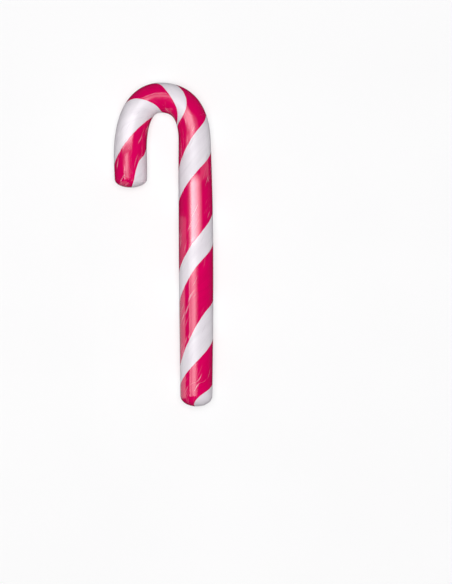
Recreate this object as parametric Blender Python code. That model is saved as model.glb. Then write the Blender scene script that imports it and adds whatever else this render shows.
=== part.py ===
"""Candy cane: one piece of glossy boiled sugar, a round stick whose top is bent over into a hook.

The cane lies flat on the floor with its stick along Y. The hook is at +Y and turns towards -X, and the side
that shows is up. The origin is on the floor, under the middle of the cane's box. One white stripe and one
crimson stripe wind round it, and the columns of faces wind with them, so that each stripe has a clean edge.

Lengths in the first block are in millimetres, as on a drawing. A place is a distance along the middle line of
the cane, measured from the end of its foot.
"""

import math

import bmesh
import bpy
import numpy as np
from mathutils import Vector
from mathutils.geometry import interpolate_bezier

MM = 0.001

# Middle line, seen from above: X, Y, the way it heads there, and its handles before and after, in mm.
MIDDLE_LINE = {
    "foot": ((12.5, -61.6), (0.0, 1.0), 0.0, 33.0),
    "shoulder": ((11.8, 39.5), (-0.022, 1.0), 33.0, 10.2),
    "crown": ((-1.1, 55.8), (-1.0, 0.0), 8.7, 8.7),
    "hip": ((-12.6, 35.5), (0.0, -1.0), 10.0, 4.0),
    "tip": ((-12.3, 21.6), (0.03, -1.0), 4.0, 0.0),
}

# Half the thickness at a few places, in mm: the stick swells in the middle and the bend is drawn thinner.
HALF_THICKNESS = {
    0.0: 6.05,
    25.0: 6.35,
    63.0: 6.57,
    90.0: 6.38,
    108.0: 5.98,
    126.0: 5.72,
    140.0: 6.0,
    153.0: 6.3,
    165.0: 6.1,
}

FOOT_DOME = 4.0
TIP_DOME = 3.2
FLAT_DEPTH = 0.25

# Places where the middle of the white stripe faces straight up, one for each turn of the stripe.
STRIPE_TURNS = (-4.5, 23.3, 57.9, 95.6, 116.9, 137.8, 172.0)
WHITE_SHARE = 0.375

SIDES = 24
DOME_ANGLES = (10.0, 26.0, 42.0, 58.0, 74.0)
BEZIER_STEPS = 120

WHITE = (0.83, 0.79, 0.83, 1.0)
CRIMSON = (0.66, 0.0, 0.09, 1.0)
SUGAR_ROUGHNESS = 0.18


def clear_scene():
    for thing in list(bpy.data.objects):
        bpy.data.objects.remove(thing, do_unlink=True)


def through(places, values, at):
    """A smooth curve through (place, value) pairs, read at the places in at."""
    places = np.asarray(places, dtype=float)
    values = np.asarray(values, dtype=float)
    slopes = np.gradient(values, places)
    first = np.clip(np.searchsorted(places, at) - 1, 0, len(places) - 2)
    span = places[first + 1] - places[first]
    step = (at - places[first]) / span
    rest = 1.0 - step
    return (
        values[first] * rest * rest * (1.0 + 2.0 * step)
        + values[first + 1] * step * step * (3.0 - 2.0 * step)
        + slopes[first] * span * step * rest * rest
        - slopes[first + 1] * span * step * step * rest
    )


def middle_line():
    """The middle line as closely spaced points in the XY plane, and the place of each, in mm."""
    knots = []
    for (x, y), (dx, dy), before, after in MIDDLE_LINE.values():
        place = Vector((x, y, 0.0))
        way = Vector((dx, dy, 0.0)).normalized()
        knots.append((place - way * before, place, place + way * after))
    points = []
    for start, end in zip(knots, knots[1:]):
        points.extend(interpolate_bezier(start[1], start[2], end[0], end[1], BEZIER_STEPS)[:-1])
    points.append(knots[-1][1])
    points = np.array([point[:2] for point in points])
    steps = np.hypot(*np.diff(points, axis=0).T)
    return points, np.concatenate(([0.0], np.cumsum(steps)))


def ring_places(line_places):
    """Where the rings of points go: a few on each domed end, and on the body one for each face's width of twist.

    The rings then lie one step of twist apart, so one edge of every face runs straight along the cane.
    """
    length = line_places[-1]
    steps = stripe_turn(line_places) * SIDES
    whole_steps = np.arange(math.ceil(steps[0]), math.floor(steps[-1]) + 1)
    body = np.interp(whole_steps, steps, line_places)
    body = body[(body > FOOT_DOME) & (body < length - TIP_DOME)]
    depths = 1.0 - np.cos(np.radians(DOME_ANGLES))
    return np.concatenate((FOOT_DOME * depths, body, (length - TIP_DOME * depths)[::-1]))


def dome(places, length):
    """How far each section has closed in towards the ends: 1 along the body, 0 at the very tip."""
    depth = np.minimum(places / FOOT_DOME, (length - places) / TIP_DOME)
    return np.sqrt(1.0 - (1.0 - np.minimum(depth, 1.0)) ** 2)


def half_thickness(places):
    return through(list(HALF_THICKNESS), list(HALF_THICKNESS.values()), places)


def stripe_turn(places):
    """How many turns the middle of the white stripe has made, counted from straight up."""
    return through(STRIPE_TURNS, range(len(STRIPE_TURNS)), places)


def swept_curve(line, line_places):
    """The cane as a curve with a round bevel: one point for each ring, with its own radius and twist."""
    places = ring_places(line_places)
    radius = half_thickness(places)
    ring_radius = radius * dome(places, line_places[-1])
    twist = 2.0 * math.pi * np.round(stripe_turn(places) * SIDES) / SIDES

    curve = bpy.data.curves.new("candy_cane_sweep", "CURVE")
    curve.dimensions = "3D"
    curve.bevel_depth = MM
    curve.bevel_resolution = (SIDES - 4) // 2
    curve.render_resolution_u = 0
    curve.use_fill_caps = True
    spline = curve.splines.new("POLY")
    spline.points.add(len(places) - 1)
    for index, point in enumerate(spline.points):
        x = np.interp(places[index], line_places, line[:, 0])
        y = np.interp(places[index], line_places, line[:, 1])
        z = radius[index] - FLAT_DEPTH
        point.co = (x * MM, y * MM, z * MM, 1.0)
        point.radius = ring_radius[index]
        point.tilt = twist[index]
    return bpy.data.objects.new("candy_cane_sweep", curve)


def plain_mesh(curve_object, collection):
    """Turn the curve into one closed mesh, with its end caps welded on, and remove the curve."""
    collection.objects.link(curve_object)
    bpy.context.view_layer.update()
    evaluated = curve_object.evaluated_get(bpy.context.evaluated_depsgraph_get())
    mesh = bpy.data.meshes.new_from_object(evaluated)
    mesh.name = "candy_cane"
    cane = bpy.data.objects.new("candy_cane", mesh)
    cane.matrix_world = curve_object.matrix_world
    collection.objects.link(cane)
    bpy.data.objects.remove(curve_object, do_unlink=True)
    return cane


def finish_form(mesh):
    """Weld the caps, press the underside flat where it lies, and split the faces along their shorter way."""
    form = bmesh.new()
    form.from_mesh(mesh)
    bmesh.ops.remove_doubles(form, verts=form.verts, dist=0.01 * MM)
    for vertex in form.verts:
        vertex.co.z = max(vertex.co.z, 0.0)
    bmesh.ops.triangulate(form, faces=form.faces, quad_method="SHORT_EDGE")
    bmesh.ops.recalc_face_normals(form, faces=form.faces)
    form.to_mesh(mesh)
    form.free()
    mesh.shade_smooth()


def sugar(name, colour):
    material = bpy.data.materials.new(name)
    material.use_nodes = True
    shader = material.node_tree.nodes["Principled BSDF"]
    shader.inputs["Base Color"].default_value = colour
    shader.inputs["Roughness"].default_value = SUGAR_ROUGHNESS
    shader.inputs["Metallic"].default_value = 0.0
    return material


def colour_stripes(mesh, line, line_places):
    """Give each face the white or the crimson sugar, by where it lies along the cane and round it."""
    mesh.materials.append(sugar("white_sugar", WHITE))
    mesh.materials.append(sugar("crimson_sugar", CRIMSON))
    headings = np.gradient(line, line_places, axis=0)
    middle_height = half_thickness(line_places) - FLAT_DEPTH
    for face in mesh.polygons:
        centre = np.array(face.center) / MM
        nearest = int(np.argmin(np.hypot(*(line - centre[:2]).T)))
        outward = np.array((headings[nearest][1], -headings[nearest][0]))
        sideways = float(np.dot(centre[:2] - line[nearest], outward))
        turn = math.atan2(sideways, centre[2] - middle_height[nearest]) / (2.0 * math.pi)
        off_stripe = (turn - stripe_turn(line_places[nearest]) + 0.5) % 1.0 - 0.5
        face.material_index = 0 if abs(off_stripe) < WHITE_SHARE / 2.0 else 1


def build_candy_cane():
    clear_scene()
    collection = bpy.data.collections.new("candy_cane")
    bpy.context.scene.collection.children.link(collection)
    line, line_places = middle_line()
    cane = plain_mesh(swept_curve(line, line_places), collection)
    finish_form(cane.data)
    colour_stripes(cane.data, line, line_places)
    return cane


build_candy_cane()
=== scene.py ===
"""The looks of the candy cane: glossy pulled sugar, crimson with one white stripe winding round it.

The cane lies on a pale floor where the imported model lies. The camera looks straight down on it, so the cane
stands upright in the picture. Lengths of the cane and its sugar are in millimetres, and those of the floor,
the lamps and the camera in metres. A place is a distance along the cane's middle line, from the end of its
foot. A turn is once round the cane, counted from the top towards the outer side of the hook.
"""

import math

import bpy
import numpy as np
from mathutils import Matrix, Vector
from mathutils.geometry import interpolate_bezier

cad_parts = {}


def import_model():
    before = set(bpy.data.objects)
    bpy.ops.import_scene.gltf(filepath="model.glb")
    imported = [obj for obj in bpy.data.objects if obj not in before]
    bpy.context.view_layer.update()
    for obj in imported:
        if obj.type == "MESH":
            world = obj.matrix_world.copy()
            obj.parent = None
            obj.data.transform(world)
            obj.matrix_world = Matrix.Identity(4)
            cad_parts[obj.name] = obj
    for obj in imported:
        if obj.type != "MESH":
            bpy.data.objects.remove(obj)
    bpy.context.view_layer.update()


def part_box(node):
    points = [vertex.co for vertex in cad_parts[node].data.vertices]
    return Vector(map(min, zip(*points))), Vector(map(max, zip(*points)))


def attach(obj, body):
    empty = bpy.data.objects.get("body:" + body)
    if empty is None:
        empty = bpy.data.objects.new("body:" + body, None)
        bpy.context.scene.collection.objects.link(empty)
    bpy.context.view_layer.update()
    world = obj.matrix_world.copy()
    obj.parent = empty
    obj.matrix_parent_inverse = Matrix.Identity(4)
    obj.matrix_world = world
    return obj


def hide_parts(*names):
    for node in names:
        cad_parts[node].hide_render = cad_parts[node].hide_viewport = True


MM = 0.001
CANE_NODE = "candy_cane"
BODY = "root"

# Middle line, seen from above: X, Y, the way it heads there, and its handles before and after.
MIDDLE_LINE = {
    "foot": ((12.5, -61.6), (0.0, 1.0), 0.0, 33.0),
    "shoulder": ((11.8, 39.5), (-0.022, 1.0), 33.0, 10.2),
    "crown": ((-1.1, 55.8), (-1.0, 0.0), 8.7, 8.7),
    "hip": ((-12.6, 35.5), (0.0, -1.0), 10.0, 4.0),
    "tip": ((-12.3, 21.6), (0.03, -1.0), 4.0, 0.0),
}
BEZIER_STEPS = 400

# Half the thickness of the cane at a few places.
HALF_THICKNESS = {
    0.0: 6.05,
    25.0: 6.35,
    63.0: 6.57,
    90.0: 6.38,
    108.0: 5.98,
    126.0: 5.72,
    140.0: 6.0,
    153.0: 6.3,
    165.0: 6.1,
}
FOOT_DOME = 4.0
TIP_DOME = 3.2
FLAT_DEPTH = 0.25

# The white stripe, one row for each turn of it: the places where its lower edge and its upper edge cross the
# inner flank, the front and the outer flank of the cane.
LOWER = 0
UPPER = 1
FLANK_TURN = 1.0 / 6.0
WHITE_STRIPE = (
    ((-32.0, -22.0, -14.0), (-8.0, 2.8, 7.2)),
    ((10.2, 17.1, 23.7), (18.5, 30.7, 38.6)),
    ((42.5, 52.9, 59.8), (53.8, 63.5, 71.2)),
    ((79.9, 88.2, 94.7), (92.8, 103.0, 107.9)),
    ((109.1, 113.5, 119.1), (111.0, 120.3, 125.0)),
    ((124.8, 130.1, 133.8), (136.2, 145.5, 154.0)),
    ((152.0, 167.3, 180.0), (168.0, 176.0, 184.0)),
)
# More crossings, each a turn and a place: the last lower edge hooks round before the front, and the second
# upper edge is steeper over the front than at the flanks.
MORE_CROSSINGS = {LOWER: ((5.94, 157.6),), UPPER: ((0.929, 25.3), (1.089, 35.9))}
STEPS_PER_TURN = 120

# How finely the cane is made.
SIDES = 128
RING_SPACING = 0.245
DOME_RINGS = 12
FIRST_DOME_ANGLE = 0.06

# Where the cane stands in the picture, and how much of it a pixel covers.
PICTURE_WIDTH = 452
PICTURE_HEIGHT = 584
CANE_CENTRE_PIXEL = (163.5, 244.4)
MM_PER_PIXEL = 0.38
CAMERA_DISTANCE = 1.2
SENSOR = 36.0


def through(places, values, at):
    """A smooth curve through (place, value) pairs, read at the places in at."""
    places = np.asarray(places, dtype=float)
    values = np.asarray(values, dtype=float)
    slopes = np.gradient(values, places)
    first = np.clip(np.searchsorted(places, at) - 1, 0, len(places) - 2)
    span = places[first + 1] - places[first]
    step = (at - places[first]) / span
    rest = 1.0 - step
    return (
        values[first] * rest * rest * (1.0 + 2.0 * step)
        + values[first + 1] * step * step * (3.0 - 2.0 * step)
        + slopes[first] * span * step * rest * rest
        - slopes[first + 1] * span * step * step * rest
    )


def middle_line():
    """The middle line as closely spaced points in the XY plane, and the place of each."""
    knots = []
    for (x, y), (dx, dy), before, after in MIDDLE_LINE.values():
        place = Vector((x, y, 0.0))
        way = Vector((dx, dy, 0.0)).normalized()
        knots.append((place - way * before, place, place + way * after))
    points = []
    for start, end in zip(knots, knots[1:]):
        points.extend(interpolate_bezier(start[1], start[2], end[0], end[1], BEZIER_STEPS)[:-1])
    points.append(knots[-1][1])
    points = np.array([point[:2] for point in points])
    steps = np.hypot(*np.diff(points, axis=0).T)
    return points, np.concatenate(([0.0], np.cumsum(steps)))


def ring_places(length):
    """Where the rings of points go: evenly along the body, and closer and closer towards the two tips."""
    depths = 1.0 - np.cos(np.linspace(FIRST_DOME_ANGLE, math.pi / 2.0, DOME_RINGS, endpoint=False))
    body_length = length - FOOT_DOME - TIP_DOME
    body = np.linspace(FOOT_DOME, length - TIP_DOME, round(body_length / RING_SPACING))
    return np.concatenate((FOOT_DOME * depths, body, (length - TIP_DOME * depths)[::-1]))


def dome(places, length):
    """How far each section has closed in towards the ends: 1 along the body, 0 at the very tip."""
    depth = np.minimum(places / FOOT_DOME, (length - places) / TIP_DOME)
    return np.sqrt(1.0 - (1.0 - np.minimum(depth, 1.0)) ** 2)


def edge_turns(edge, places):
    """The turn at which one edge of the white stripe, LOWER or UPPER, crosses each place."""
    crossings = list(MORE_CROSSINGS[edge])
    for number, row in enumerate(WHITE_STRIPE):
        crossings.extend(zip((number - FLANK_TURN, number, number + FLANK_TURN), row[edge]))
    turns, crossed_at = zip(*sorted(crossings))
    fine = np.arange(turns[0], turns[-1], 1.0 / STEPS_PER_TURN)
    climbing = np.maximum.accumulate(through(turns, crossed_at, fine))
    return np.interp(places, climbing, fine)


def middle_line_object():
    """The middle line as a string of points, each knowing its section's size and where the stripe lies."""
    line, line_places = middle_line()
    length = line_places[-1]
    places = ring_places(length)
    radius = through(list(HALF_THICKNESS), list(HALF_THICKNESS.values()), places)
    xs = np.interp(places, line_places, line[:, 0])
    ys = np.interp(places, line_places, line[:, 1])
    zs = radius - FLAT_DEPTH

    mesh = bpy.data.meshes.new("middle_line")
    points = np.stack((xs, ys, zs), axis=1) * MM
    mesh.from_pydata(points.tolist(), [(i, i + 1) for i in range(len(points) - 1)], [])
    fields = {
        "place": places,
        "half_thickness": radius,
        "closing": dome(places, length),
        "white_from": edge_turns(UPPER, places),
        "white_to": edge_turns(LOWER, places),
    }
    for name, values in fields.items():
        stored = mesh.attributes.new(name, "FLOAT", "POINT")
        stored.data.foreach_set("value", values.astype(np.float32))
    return bpy.data.objects.new("striped_cane", mesh)


def put(tree, kind, inputs=(), **settings):
    """Add a node, set its properties, and fill its inputs with values or with other nodes' outputs."""
    made = tree.nodes.new(kind)
    for name, value in settings.items():
        setattr(made, name, value)
    for key, value in dict(inputs).items():
        if isinstance(value, bpy.types.NodeSocket):
            tree.links.new(value, made.inputs[key])
        else:
            made.inputs[key].default_value = value
    return made


def calc(tree, operation, *values):
    return put(tree, "ShaderNodeMath", enumerate(values), operation=operation).outputs[0]


def vector_calc(tree, operation, *values):
    made = put(tree, "ShaderNodeVectorMath", enumerate(values), operation=operation)
    return made.outputs["Value" if operation in ("DOT_PRODUCT", "LENGTH") else "Vector"]


def combine(tree, x, y, z):
    return put(tree, "ShaderNodeCombineXYZ", {"X": x, "Y": y, "Z": z}).outputs["Vector"]


def named(tree, name, data_type="FLOAT"):
    made = put(tree, "GeometryNodeInputNamedAttribute", {"Name": name}, data_type=data_type)
    return made.outputs["Attribute"]


def on_round_bar(tree, turns, stretch):
    """A place on the cane as a point on a straight round bar, turned by turns and drawn out by stretch."""
    angle = calc(tree, "MULTIPLY", turns, 2.0 * math.pi)
    radius = named(tree, "half_thickness")
    return combine(
        tree,
        calc(tree, "MULTIPLY", calc(tree, "COSINE", angle), radius),
        calc(tree, "MULTIPLY", calc(tree, "SINE", angle), radius),
        calc(tree, "DIVIDE", named(tree, "place"), stretch),
    )


def keep(tree, geometry, name, value, data_type="FLOAT"):
    inputs = {"Geometry": geometry, "Name": name, "Value": value}
    made = put(tree, "GeometryNodeStoreNamedAttribute", inputs, data_type=data_type, domain="POINT")
    return made.outputs["Geometry"]


def ripple(tree, vector, size, seed, detail=1.0):
    """Smooth noise from -0.5 to 0.5, with lumps of the given size in the units of the vector."""
    inputs = {"Vector": vector, "W": seed, "Scale": calc(tree, "DIVIDE", 1.0, size), "Detail": detail}
    made = put(tree, "ShaderNodeTexNoise", inputs, noise_dimensions="4D")
    return calc(tree, "SUBTRACT", made.outputs[0], 0.5)


CANE_INPUTS = (
    ("Sides", "NodeSocketInt"),
    ("Stripe Slant", "NodeSocketFloat"),
    ("Grain Stretch", "NodeSocketFloat"),
    ("Crease Twist", "NodeSocketFloat"),
    ("Crease Stretch", "NodeSocketFloat"),
    ("Seam Width", "NodeSocketFloat"),
    ("Seam Depth", "NodeSocketFloat"),
    ("Strand Width", "NodeSocketFloat"),
    ("Strand Height", "NodeSocketFloat"),
    ("Swell Length", "NodeSocketFloat"),
    ("Swell Height", "NodeSocketFloat"),
    ("Seed", "NodeSocketFloat"),
    ("Sugar", "NodeSocketMaterial"),
)


def cane_tree():
    """Sweep a round section along the middle line, wind the stripe round it and give the sugar its relief."""
    tree = bpy.data.node_groups.new("pulled_cane", "GeometryNodeTree")
    tree.interface.new_socket("Geometry", in_out="INPUT", socket_type="NodeSocketGeometry")
    for name, kind in CANE_INPUTS:
        tree.interface.new_socket(name, in_out="INPUT", socket_type=kind)
    tree.interface.new_socket("Geometry", in_out="OUTPUT", socket_type="NodeSocketGeometry")
    given = tree.nodes.new("NodeGroupInput").outputs

    # The sweep. Each point keeps the middle of its own section, and the way the middle line heads there.
    position = put(tree, "GeometryNodeInputPosition").outputs["Position"]
    curve = put(tree, "GeometryNodeMeshToCurve", {"Mesh": given["Geometry"]}).outputs["Curve"]
    curve = put(tree, "GeometryNodeSetCurveNormal", {"Curve": curve}, mode="Z_UP").outputs["Curve"]
    curve = put(tree, "GeometryNodeSetCurveRadius", {"Curve": curve, "Radius": 1.0}).outputs["Curve"]
    curve = keep(tree, curve, "section_centre", position, "FLOAT_VECTOR")
    tangent = put(tree, "GeometryNodeInputTangent").outputs["Tangent"]
    curve = keep(tree, curve, "heading", tangent, "FLOAT_VECTOR")
    section = put(tree, "GeometryNodeCurvePrimitiveCircle", {"Resolution": given["Sides"], "Radius": MM})
    ring_radius = calc(tree, "MULTIPLY", named(tree, "half_thickness"), named(tree, "closing"))
    sweep = {
        "Curve": curve,
        "Profile Curve": section.outputs["Curve"],
        "Scale": ring_radius,
        "Fill Caps": True,
    }
    solid = put(tree, "GeometryNodeCurveToMesh", sweep).outputs["Mesh"]

    # How far round the section a point is, in turns: 0 on top, and then towards the outer side of the hook.
    arm = vector_calc(tree, "SUBTRACT", position, named(tree, "section_centre", "FLOAT_VECTOR"))
    outer = vector_calc(tree, "CROSS_PRODUCT", named(tree, "heading", "FLOAT_VECTOR"), (0.0, 0.0, 1.0))
    sideways = vector_calc(tree, "DOT_PRODUCT", arm, outer)
    upward = vector_calc(tree, "DOT_PRODUCT", arm, (0.0, 0.0, 1.0))
    turn = calc(tree, "DIVIDE", calc(tree, "ARCTAN2", sideways, upward), 2.0 * math.pi)

    # How far a point lies inside the white stripe, in millimetres, below 0 in the crimson.
    white_from = named(tree, "white_from")
    white_to = named(tree, "white_to")
    stripe_middle = calc(tree, "MULTIPLY", calc(tree, "ADD", white_from, white_to), 0.5)
    stripe_half = calc(tree, "MULTIPLY", calc(tree, "SUBTRACT", white_to, white_from), 0.5)
    from_middle = calc(tree, "WRAP", calc(tree, "SUBTRACT", turn, stripe_middle), 0.5, -0.5)
    inside = calc(tree, "SUBTRACT", stripe_half, calc(tree, "ABSOLUTE", from_middle))
    circumference = calc(tree, "MULTIPLY", named(tree, "half_thickness"), 2.0 * math.pi)
    inside = calc(tree, "MULTIPLY", inside, circumference)
    inside = calc(tree, "MULTIPLY", inside, given["Stripe Slant"])

    # The grain of the pulled sugar turns with the stripe. Its creases turn less, so they stand more steeply.
    grain = on_round_bar(tree, from_middle, given["Grain Stretch"])
    turned_back = calc(tree, "MULTIPLY", stripe_middle, given["Crease Twist"])
    creases = on_round_bar(tree, calc(tree, "SUBTRACT", turn, turned_back), given["Crease Stretch"])
    solid = keep(tree, solid, "inside_white", inside)
    solid = keep(tree, solid, "sugar_grain", grain, "FLOAT_VECTOR")
    solid = keep(tree, solid, "sugar_creases", creases, "FLOAT_VECTOR")

    # Relief: a shallow seam where the colours meet, fine strands along the grain, and a slow hand-made swell.
    seam = calc(tree, "DIVIDE", named(tree, "inside_white"), given["Seam Width"])
    seam = calc(tree, "EXPONENT", calc(tree, "MULTIPLY", calc(tree, "MULTIPLY", seam, seam), -1.0))
    seam = calc(tree, "MULTIPLY", seam, calc(tree, "MULTIPLY", given["Seam Depth"], -1.0))
    kept_grain = named(tree, "sugar_grain", "FLOAT_VECTOR")
    strands = ripple(tree, kept_grain, given["Strand Width"], given["Seed"])
    strands = calc(tree, "MULTIPLY", strands, given["Strand Height"])
    in_mm = vector_calc(tree, "MULTIPLY", position, (1.0 / MM,) * 3)
    swell = ripple(tree, in_mm, given["Swell Length"], given["Seed"])
    swell = calc(tree, "MULTIPLY", swell, given["Swell Height"])
    lift = calc(tree, "ADD", calc(tree, "ADD", seam, strands), swell)
    lift = calc(tree, "MULTIPLY", lift, calc(tree, "MULTIPLY", named(tree, "closing"), MM))
    normal = put(tree, "GeometryNodeInputNormal").outputs["Normal"]
    offset = combine(tree, lift, lift, lift)
    offset = vector_calc(tree, "MULTIPLY", normal, offset)
    solid = put(tree, "GeometryNodeSetPosition", {"Geometry": solid, "Offset": offset}).outputs["Geometry"]

    # The underside is pressed flat where the warm sugar lay.
    parts = put(tree, "ShaderNodeSeparateXYZ", {"Vector": position}).outputs
    above_floor = combine(tree, parts["X"], parts["Y"], calc(tree, "MAXIMUM", parts["Z"], 0.0))
    pressed = put(tree, "GeometryNodeSetPosition", {"Geometry": solid, "Position": above_floor})
    smooth = put(tree, "GeometryNodeSetShadeSmooth", {"Geometry": pressed.outputs["Geometry"]})
    real = put(tree, "GeometryNodeRealizeInstances", {"Geometry": smooth.outputs["Geometry"]})
    inputs = {"Geometry": real.outputs["Geometry"], "Material": given["Sugar"]}
    finished = put(tree, "GeometryNodeSetMaterial", inputs)
    put(tree, "NodeGroupOutput", {"Geometry": finished.outputs["Geometry"]})
    return tree


BLENDER_FIELDS = ("position", "sharp_face", "material_index")


def plain_mesh(piece, kept_fields):
    """Turn what the modifier makes into the piece's own mesh, and leave only the kept fields on it."""
    bpy.context.view_layer.update()
    evaluated = piece.evaluated_get(bpy.context.evaluated_depsgraph_get())
    mesh = bpy.data.meshes.new_from_object(evaluated)
    piece.modifiers.clear()
    piece.data = mesh
    mesh.name = piece.name
    wanted = BLENDER_FIELDS + kept_fields
    for name in [stored.name for stored in mesh.attributes]:
        stored = mesh.attributes.get(name)
        if stored and not (stored.is_internal or stored.is_required or name in wanted):
            mesh.attributes.remove(stored)
    return piece


def striped_cane(sugar):
    """The whole cane, one closed piece of sugar."""
    piece = middle_line_object()
    bpy.context.scene.collection.objects.link(piece)
    tree = cane_tree()
    modifier = piece.modifiers.new("pulled_cane", "NODES")
    modifier.node_group = tree
    sizes = {
        "Sides": SIDES,
        "Stripe Slant": 0.7,
        "Grain Stretch": 9.0,
        "Crease Twist": 0.38,
        "Crease Stretch": 11.0,
        "Seam Width": 0.35,
        "Seam Depth": 0.02,
        "Strand Width": 1.6,
        "Strand Height": 0.012,
        "Swell Length": 14.0,
        "Swell Height": 0.16,
        "Seed": 4.0,
        "Sugar": sugar,
    }
    for socket in tree.interface.items_tree:
        if socket.in_out == "INPUT" and socket.name in sizes:
            modifier[socket.identifier] = sizes[socket.name]
    return plain_mesh(piece, ("inside_white", "sugar_grain", "sugar_creases"))


def field(tree, name, output):
    made = put(tree, "ShaderNodeAttribute", attribute_name=name, attribute_type="GEOMETRY")
    return made.outputs[output]


# Where the mix node keeps its sockets for two colours.
MIX_FACTOR = 0
MIX_FIRST = 6
MIX_SECOND = 7
MIX_RESULT = 2


def blend(tree, share, first, second):
    """Mix two colours: all of the first at 0, all of the second at 1."""
    inputs = {MIX_FACTOR: share, MIX_FIRST: first, MIX_SECOND: second}
    return put(tree, "ShaderNodeMix", inputs, data_type="RGBA").outputs[MIX_RESULT]


def ramp(tree, value, low, high, out_low=0.0, out_high=1.0):
    """Follow value smoothly from out_low at low to out_high at high."""
    inputs = {"Value": value, "From Min": low, "From Max": high, "To Min": out_low, "To Max": out_high}
    made = put(tree, "ShaderNodeMapRange", inputs, interpolation_type="SMOOTHSTEP")
    return made.outputs["Result"]


GRAIN_INPUTS = (
    ("Grain", "NodeSocketVector"),
    ("Creases", "NodeSocketVector"),
    ("Body", "NodeSocketColor"),
    ("Streak", "NodeSocketColor"),
    ("Crease Glint And Shade", "NodeSocketColor"),
    ("Broad Size", "NodeSocketFloat"),
    ("Fine Size", "NodeSocketFloat"),
    ("Shiny", "NodeSocketFloat"),
    ("Dull", "NodeSocketFloat"),
    ("Strand Height", "NodeSocketFloat"),
    ("Crease Spacing", "NodeSocketFloat"),
    ("Crease Width", "NodeSocketFloat"),
    ("Crease Height", "NodeSocketFloat"),
)
GRAIN_OUTPUTS = (
    ("Colour", "NodeSocketColor"),
    ("Roughness", "NodeSocketFloat"),
    ("Height", "NodeSocketFloat"),
)

# The streaks: the shares of broad and fine ones, and the spans over which colour and dullness change.
STREAK_DETAIL = 2.0
BROAD_SEED = 1.5
FINE_SEED = 7.5
BROAD_SHARE = 0.7
FINE_SHARE = 0.3
COLOUR_SPAN = (-0.16, 0.2)
DULLNESS_SPAN = (-0.2, 0.2)

# The creases: how far and how often they wobble, and the patches that have them.
WOBBLE = 1.1
WOBBLE_SIZE = 0.5
WOBBLE_SEED = 3.5
PATCH_SIZE = 2.2
PATCH_SEED = 47.0
PATCH_SPAN = (-0.04, 0.05)


def pulled_grain():
    """The grain of pulled sugar: streaks of colour and dullness, fine strands, and short creases in patches.

    Sizes are in millimetres across the grain, and heights too. The creases also carry painted light:
    a paler colour in the crimson as a painted glint, and a darker one in the white as painted shade.
    """
    tree = bpy.data.node_groups.new("pulled_grain", "ShaderNodeTree")
    for name, kind in GRAIN_INPUTS:
        tree.interface.new_socket(name, in_out="INPUT", socket_type=kind)
    for name, kind in GRAIN_OUTPUTS:
        tree.interface.new_socket(name, in_out="OUTPUT", socket_type=kind)
    given = tree.nodes.new("NodeGroupInput").outputs

    broad = ripple(tree, given["Grain"], given["Broad Size"], BROAD_SEED, STREAK_DETAIL)
    fine = ripple(tree, given["Grain"], given["Fine Size"], FINE_SEED, STREAK_DETAIL)
    both = calc(tree, "MULTIPLY_ADD", fine, FINE_SHARE, calc(tree, "MULTIPLY", broad, BROAD_SHARE))
    colour = blend(tree, ramp(tree, both, *COLOUR_SPAN), given["Body"], given["Streak"])
    spread = calc(tree, "SUBTRACT", given["Dull"], given["Shiny"])
    roughness = calc(tree, "MULTIPLY_ADD", ramp(tree, both, *DULLNESS_SPAN), spread, given["Shiny"])

    wobble = ripple(tree, given["Creases"], WOBBLE_SIZE, WOBBLE_SEED, 0.0)
    wobble = calc(tree, "MULTIPLY", wobble, WOBBLE)
    wobbled = vector_calc(tree, "ADD", given["Creases"], combine(tree, wobble, wobble, 0.0))
    density = calc(tree, "DIVIDE", 1.0, given["Crease Spacing"])
    nearest = put(tree, "ShaderNodeTexVoronoi", {"Vector": wobbled, "Scale": density})
    crease = ramp(tree, nearest.outputs["Distance"], 0.0, given["Crease Width"], 1.0, 0.0)
    patch = ramp(tree, ripple(tree, given["Creases"], PATCH_SIZE, PATCH_SEED, 0.0), *PATCH_SPAN)
    crease = calc(tree, "MULTIPLY", crease, patch)
    # Painted light: the creases take a paler colour in the crimson as a painted glint, and a darker one in
    # the white as painted shade.
    colour = blend(tree, crease, colour, given["Crease Glint And Shade"])
    height = calc(tree, "MULTIPLY", crease, given["Crease Height"])
    height = calc(tree, "MULTIPLY_ADD", fine, given["Strand Height"], height)
    put(tree, "NodeGroupOutput", {"Colour": colour, "Roughness": roughness, "Height": height})
    return tree


CRIMSON_SUGAR = {
    "Body": (0.73, 0.0, 0.108, 1.0),
    "Streak": (0.65, 0.0, 0.093, 1.0),
    # A painted glint: the pale colour of the creases in the crimson.
    "Crease Glint And Shade": (0.90, 0.42, 0.53, 1.0),
    "Broad Size": 3.2,
    "Fine Size": 0.9,
    "Shiny": 0.08,
    "Dull": 0.17,
    "Strand Height": 0.0015,
    "Crease Spacing": 0.9,
    "Crease Width": 0.33,
    "Crease Height": 0.07,
}
WHITE_SUGAR = {
    "Body": (0.795, 0.755, 0.797, 1.0),
    "Streak": (0.73, 0.687, 0.733, 1.0),
    # Painted shade: the darker colour of the creases in the white.
    "Crease Glint And Shade": (0.66, 0.60, 0.65, 1.0),
    "Broad Size": 2.6,
    "Fine Size": 0.8,
    "Shiny": 0.32,
    "Dull": 0.46,
    "Strand Height": 0.0015,
    "Crease Spacing": 0.9,
    "Crease Width": 0.3,
    "Crease Height": 0.03,
}
SUGAR_IOR = 1.5
COAT_ROUGHNESS = 0.06
WHITE_COAT = 0.15

# Where the colours meet: how far their edge wanders, how soft it is, and how crimson bleeds into the white.
EDGE_WANDER = 0.3
EDGE_WANDER_SIZE = 3.5
EDGE_WANDER_SEED = 2.0
EDGE_DETAIL = 2.0
EDGE_SOFTNESS = 0.07
BLEED_WIDTH = 0.5
BLEED_SHARE = 0.08
SEAM_PINK = (0.82, 0.32, 0.47, 1.0)


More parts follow.
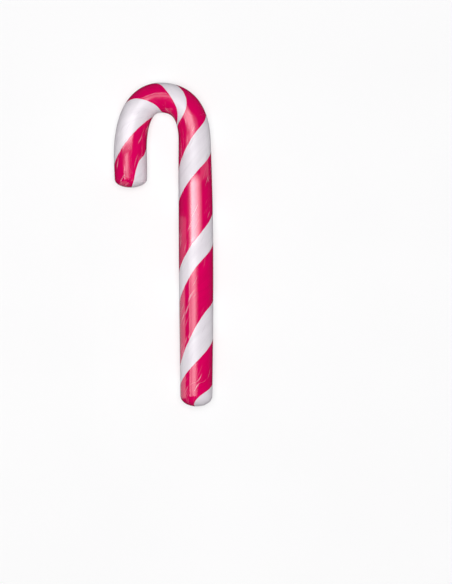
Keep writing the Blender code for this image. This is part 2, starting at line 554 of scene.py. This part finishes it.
def sugar_material():
    """Pulled sugar, crimson and white in one piece, under a clear glossy skin."""
    material = bpy.data.materials.new("striped_sugar")
    material.use_nodes = True
    tree = material.node_tree
    shader = tree.nodes["Principled BSDF"]
    grain = field(tree, "sugar_grain", "Vector")
    creases = field(tree, "sugar_creases", "Vector")
    here = put(tree, "ShaderNodeTexCoord").outputs["Object"]
    here = vector_calc(tree, "MULTIPLY", here, (1.0 / MM,) * 3)
    grain_tree = pulled_grain()
    sugars = []
    for recipe in (CRIMSON_SUGAR, WHITE_SUGAR):
        made = put(tree, "ShaderNodeGroup", node_tree=grain_tree)
        tree.links.new(grain, made.inputs["Grain"])
        tree.links.new(creases, made.inputs["Creases"])
        for name, value in recipe.items():
            made.inputs[name].default_value = value
        sugars.append(made.outputs)
    crimson, white = sugars

    wander = ripple(tree, here, EDGE_WANDER_SIZE, EDGE_WANDER_SEED, EDGE_DETAIL)
    wander = calc(tree, "MULTIPLY", wander, EDGE_WANDER)
    inside = calc(tree, "ADD", field(tree, "inside_white", "Fac"), wander)
    white_share = ramp(tree, inside, -EDGE_SOFTNESS, EDGE_SOFTNESS)
    bleed = ramp(tree, inside, 0.0, BLEED_WIDTH, BLEED_SHARE, 0.0)
    white_colour = blend(tree, bleed, white["Colour"], SEAM_PINK)
    colour = blend(tree, white_share, crimson["Colour"], white_colour)
    tree.links.new(colour, shader.inputs["Base Color"])
    mixed = {}
    for name in ("Roughness", "Height"):
        change = calc(tree, "SUBTRACT", white[name], crimson[name])
        mixed[name] = calc(tree, "MULTIPLY_ADD", white_share, change, crimson[name])
    tree.links.new(mixed["Roughness"], shader.inputs["Roughness"])
    bump = put(tree, "ShaderNodeBump", {"Distance": MM, "Height": mixed["Height"]})
    tree.links.new(bump.outputs["Normal"], shader.inputs["Normal"])

    coat = ramp(tree, inside, -EDGE_SOFTNESS, EDGE_SOFTNESS, 1.0, WHITE_COAT)
    tree.links.new(coat, shader.inputs["Coat Weight"])
    shader.inputs["Coat Roughness"].default_value = COAT_ROUGHNESS
    shader.inputs["IOR"].default_value = SUGAR_IOR
    return material


FLOOR_SIZE = 4.0
FLOOR_GLOW = 0.6
PAPER_LIGHT = (0.37, 0.37, 0.37, 1.0)
PAPER_DARK = (0.35, 0.35, 0.35, 1.0)
MOTTLE_SIZE = 0.05
MOTTLE_SEED = 1.0
MOTTLE_DETAIL = 2.0


def paper_floor():
    """A plain pale sheet under the cane, faintly lit from below like a light table."""
    material = bpy.data.materials.new("pale_floor")
    material.use_nodes = True
    tree = material.node_tree
    shader = tree.nodes["Principled BSDF"]
    here = put(tree, "ShaderNodeTexCoord").outputs["Object"]
    mottle = ripple(tree, here, MOTTLE_SIZE, MOTTLE_SEED, MOTTLE_DETAIL)
    colour = blend(tree, ramp(tree, mottle, -0.5, 0.5), PAPER_LIGHT, PAPER_DARK)
    tree.links.new(colour, shader.inputs["Base Color"])
    shader.inputs["Roughness"].default_value = 0.9
    shader.inputs["Specular IOR Level"].default_value = 0.1
    shader.inputs["Emission Color"].default_value = (1.0, 1.0, 1.0, 1.0)
    shader.inputs["Emission Strength"].default_value = FLOOR_GLOW
    bpy.ops.mesh.primitive_plane_add(size=FLOOR_SIZE)
    floor = bpy.context.object
    floor.name = "floor"
    floor.data.materials.append(material)
    floor.visible_glossy = False


LEVEL = (0.0, 0.0, 0.0)
UPRIGHT_TO_RIGHT = (0.0, -math.pi / 2.0, 0.0)
UPRIGHT_TO_LEFT = (0.0, math.pi / 2.0, 0.0)
EVEN_GLOW = ((0.0, 1.0), (1.0, 1.0))
NO_GRID = math.pi
SHORTEST_FADE = 0.001
LEAST_OPENING = 0.1


def lamp(name, size, brightness, place, turn=LEVEL, glow=EVEN_GLOW, fade=0.0, spread=NO_GRID):
    """A rectangle of light that shines down before it is turned.

    Across its width it is as bright as glow says, in shares of the width and of the brightness, and it fades
    out over a share of its length. A grid of the given spread keeps its light from going further aside.
    """
    light = bpy.data.lights.new(name, "AREA")
    light.shape = "RECTANGLE"
    light.size, light.size_y = size
    light.energy = brightness * math.pi * size[0] * size[1]
    light.spread = spread
    light.use_nodes = True
    tree = light.node_tree
    spot = put(tree, "ShaderNodeNewGeometry").outputs["Parametric"]
    spot = put(tree, "ShaderNodeSeparateXYZ", {"Vector": spot}).outputs
    across = put(tree, "ShaderNodeValToRGB", {"Fac": spot["X"]})
    stops = across.color_ramp.elements
    # A new ramp comes with two stops.
    for number, (share, strength) in enumerate(glow):
        stop = stops[number] if number < 2 else stops.new(share)
        stop.position = share
        stop.color = (strength, strength, strength, 1.0)
    to_edge = calc(tree, "PINGPONG", spot["Y"], 0.5)
    along = ramp(tree, to_edge, 0.0, max(0.5 * fade, SHORTEST_FADE))
    strength = calc(tree, "MULTIPLY", across.outputs["Color"], along)
    tree.links.new(strength, tree.nodes["Emission"].inputs["Strength"])
    thing = bpy.data.objects.new(name, light)
    thing.location = place
    thing.rotation_euler = turn
    thing.visible_camera = False
    bpy.context.scene.collection.objects.link(thing)
    return thing


def panel(name, across, along, height, brightness, **looks):
    """A level lamp over the cane, reaching from one X to another and from one Y to another."""
    size = (across[1] - across[0], along[1] - along[0])
    place = ((across[0] + across[1]) / 2.0, (along[0] + along[1]) / 2.0, height)
    return lamp(name, size, brightness, place, **looks)


def through_grid(tilt, spread):
    """How bright a lamp with a grid looks at a tilt from straight on, against the same lamp with no grid."""
    if spread == NO_GRID:
        return 1.0
    opening = math.tan(spread / 2.0)
    return max(opening - math.tan(abs(tilt)), LEAST_OPENING) / (opening - spread / 2.0)


def tilted_glow(name, glow, over, along, height, fade=0.0, spread=NO_GRID):
    """A level lamp whose brightness is given by the tilt, in degrees, at which the gloss of the cane sees it.

    The part of the cane that sees it lies along Y, with its middle line at the X in over.
    """
    places = []
    strengths = []
    for degrees, strength in glow:
        tilt = math.radians(degrees)
        seen_from_x = over + GLOSS_RADIUS * math.sin(tilt / 2.0)
        seen_from_z = GLOSS_RADIUS * (1.0 + math.cos(tilt / 2.0))
        places.append(seen_from_x + (height - seen_from_z) * math.tan(tilt))
        strengths.append(strength / through_grid(tilt, spread))
    first, last = places[0], places[-1]
    brightest = max(strengths)
    shares = [
        ((place - first) / (last - first), strength / brightest)
        for place, strength in zip(places, strengths)
    ]
    return panel(name, (first, last), along, height, brightest, glow=shares, fade=fade, spread=spread)


# The light from all round, and what the gloss sees in its place: pale where it looks nearly straight down.
WORLD_COLOUR = (0.90, 0.84, 0.92, 1.0)
WORLD_STRENGTH = 0.13
GLOSS_BELOW = 0.45
GLOSS_ASIDE = 0.008
LOOKING_DOWN = (-0.985, -0.86)


def studio_world():
    """Faint lilac light from all round. The gloss sees it dark to the sides, and pale straight below."""
    world = bpy.data.worlds.new("studio")
    world.use_nodes = True
    tree = world.node_tree
    background = tree.nodes["Background"]
    background.inputs["Color"].default_value = WORLD_COLOUR
    way = put(tree, "ShaderNodeTexCoord").outputs["Generated"]
    upward = put(tree, "ShaderNodeSeparateXYZ", {"Vector": way}).outputs["Z"]
    in_gloss = ramp(tree, upward, *LOOKING_DOWN, GLOSS_BELOW, GLOSS_ASIDE)
    glossy_ray = put(tree, "ShaderNodeLightPath").outputs["Is Glossy Ray"]
    change = calc(tree, "SUBTRACT", in_gloss, WORLD_STRENGTH)
    strength = calc(tree, "MULTIPLY_ADD", glossy_ray, change, WORLD_STRENGTH)
    tree.links.new(strength, background.inputs["Strength"])
    bpy.context.scene.world = world


# The round surface that the lamps over the cane are laid out for, and where its parts lie.
GLOSS_RADIUS = 0.0063
STICK_X = 0.0125
SHOULDER_X = 0.0115
LEG_X = -0.0123
LEFT_CARD_X = -0.026
GRID_SPREAD = math.radians(104.0)
HIP_TURN = math.radians(28.0)
FILL_HALF = 0.25

# How bright each lamp over the cane is, by the tilt to the right at which the gloss of the cane sees it.
LONG_GLOW = ((-49, 1.0), (-47, 3.0), (-42, 3.0), (-39, 0.8), (-31, 1.0))
STRIP_GLOW = ((-35, 1.0), (-28, 2.6), (-20, 3.1), (-12, 3.0), (-6, 2.3), (0, 1.3), (5, 0.4), (11, 0.0))
STICK_GLOW = (
    (-50, 0.0),
    (-42, 0.3),
    (-34, 1.6),
    (-27, 4.6),
    (-20, 6.7),
    (-12, 7.2),
    (0, 6.4),
    (10, 5.1),
    (19, 3.5),
    (34, 1.3),
    (46, 0.1),
)
LEG_GLOW = ((-58, 0.0), (-46, 0.3), (-36, 1.4), (-29, 3.0), (-21, 3.0), (-14, 1.3), (-6, 0.3), (2, 0.0))
SHOULDER_GLOW = (
    (-46, 0.0),
    (-37, 0.3),
    (-30, 0.9),
    (-23, 2.0),
    (-16, 2.8),
    (-9, 2.7),
    (0, 1.8),
    (8, 1.1),
    (19, 0.7),
    (32, 0.5),
    (42, 0.0),
)
BEND_GLOW = ((-60, 0.5), (-40, 1.0), (-20, 1.6), (-8, 1.7), (2, 1.5), (8, 1.2), (16, 0.0))
HIP_GLOW = ((-50, 3.0), (-42, 4.4), (-28, 4.8), (-10, 4.4), (6, 3.2), (18, 0.8))

# How bright the upright cards and the tube are, by the share of their height or width.
FLANK_GLOW = ((0.0, 0.4), (0.37, 0.46), (0.6, 0.58), (0.75, 0.76), (0.85, 0.98), (1.0, 1.0))
WAIST_GLOW = ((0.0, 0.0), (0.12, 0.04), (0.44, 0.25), (0.59, 0.56), (0.69, 0.88), (1.0, 1.0))
TUBE_GLOW = ((0.0, 0.0), (0.3, 1.0), (1.0, 1.0))


def left_card(name, along, heights, brightness, glow, fade):
    """An upright lamp left of the stick, reaching from one Y to another and from one height to another.

    Its glow is given from its lower edge up. Its foot may lie below the floor, which the gloss doesn't see.
    """
    size = (heights[1] - heights[0], along[1] - along[0])
    place = (LEFT_CARD_X, (along[0] + along[1]) / 2.0, (heights[0] + heights[1]) / 2.0)
    return lamp(name, size, brightness, place, UPRIGHT_TO_RIGHT, glow, fade)


def light_scene():
    """Soft light from overhead for the colours, and lamps and cards that show only in the gloss."""
    fill_reach = (-FILL_HALF, FILL_HALF)
    fill = panel("overhead_fill", fill_reach, fill_reach, height=0.9, brightness=10.5)
    fill.visible_glossy = False
    flank_card = left_card(
        "flank_card", (-0.0785, -0.009), heights=(-0.051, 0.0155), brightness=1.05, glow=FLANK_GLOW, fade=0.32
    )
    waist_card = left_card(
        "waist_card", (-0.0105, 0.0118), heights=(-0.051, 0.0266), brightness=0.5, glow=WAIST_GLOW, fade=0.08
    )
    hip_card = lamp(
        "hip_card",
        size=(0.25, 0.2),
        brightness=2.2,
        place=(-0.31, 0.165, 0.22),
        turn=(0.0, -math.pi / 2.0, -HIP_TURN),
        fade=0.3,
    )
    right_card = lamp(
        "right_card",
        size=(0.035, 0.011),
        brightness=0.5,
        place=(0.035, 0.0312, 0.0225),
        turn=UPRIGHT_TO_LEFT,
        fade=0.5,
    )
    grid = {"spread": GRID_SPREAD}
    gloss_lamps = (
        tilted_glow("stick_softbox", STICK_GLOW, STICK_X, (-0.0016, 0.0285), height=0.02, fade=0.33, **grid),
        tilted_glow("strip_softbox", STRIP_GLOW, STICK_X, (-0.061, 0.004), height=0.045, fade=0.04, **grid),
        tilted_glow("hip_softbox", HIP_GLOW, LEG_X, (0.0392, 0.063), height=0.03, fade=0.5, **grid),
        tilted_glow("long_softbox", LONG_GLOW, STICK_X, (-0.16, 0.012), height=0.5, fade=0.06),
        tilted_glow("leg_softbox", LEG_GLOW, LEG_X, (-0.012, 0.079), height=0.49, fade=0.08),
        tilted_glow(
            "shoulder_softbox", SHOULDER_GLOW, SHOULDER_X, (0.0305, 0.054), height=0.021, fade=0.35, **grid
        ),
        tilted_glow("bend_softbox", BEND_GLOW, 0.0, (0.08, 0.27), height=0.5, fade=0.25),
        panel("bend_tube", (-0.3, 0.02), (0.345, 0.38), height=0.5, brightness=7.0, glow=TUBE_GLOW),
        flank_card,
        waist_card,
        hip_card,
        right_card,
    )
    for gloss_lamp in gloss_lamps:
        gloss_lamp.visible_diffuse = False
    studio_world()


def place_camera():
    """Look straight down, from far off, with the cane where it stands in the picture."""
    centre_x, centre_y = CANE_CENTRE_PIXEL
    right = (PICTURE_WIDTH / 2.0 - centre_x) * MM_PER_PIXEL * MM
    down = (PICTURE_HEIGHT / 2.0 - centre_y) * MM_PER_PIXEL * MM
    lowest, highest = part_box(CANE_NODE)
    outline_height = (lowest.z + highest.z) / 2.0
    data = bpy.data.cameras.new("camera")
    data.sensor_width = SENSOR
    data.lens = SENSOR * CAMERA_DISTANCE / (PICTURE_HEIGHT * MM_PER_PIXEL * MM)
    camera = bpy.data.objects.new("camera", data)
    camera.location = (right, -down, outline_height + CAMERA_DISTANCE)
    bpy.context.scene.collection.objects.link(camera)
    bpy.context.scene.camera = camera


def main():
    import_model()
    cane = striped_cane(sugar_material())
    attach(cane, BODY)
    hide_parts(CANE_NODE)
    paper_floor()
    light_scene()
    place_camera()
    bpy.context.scene.view_settings.view_transform = "Standard"


main()
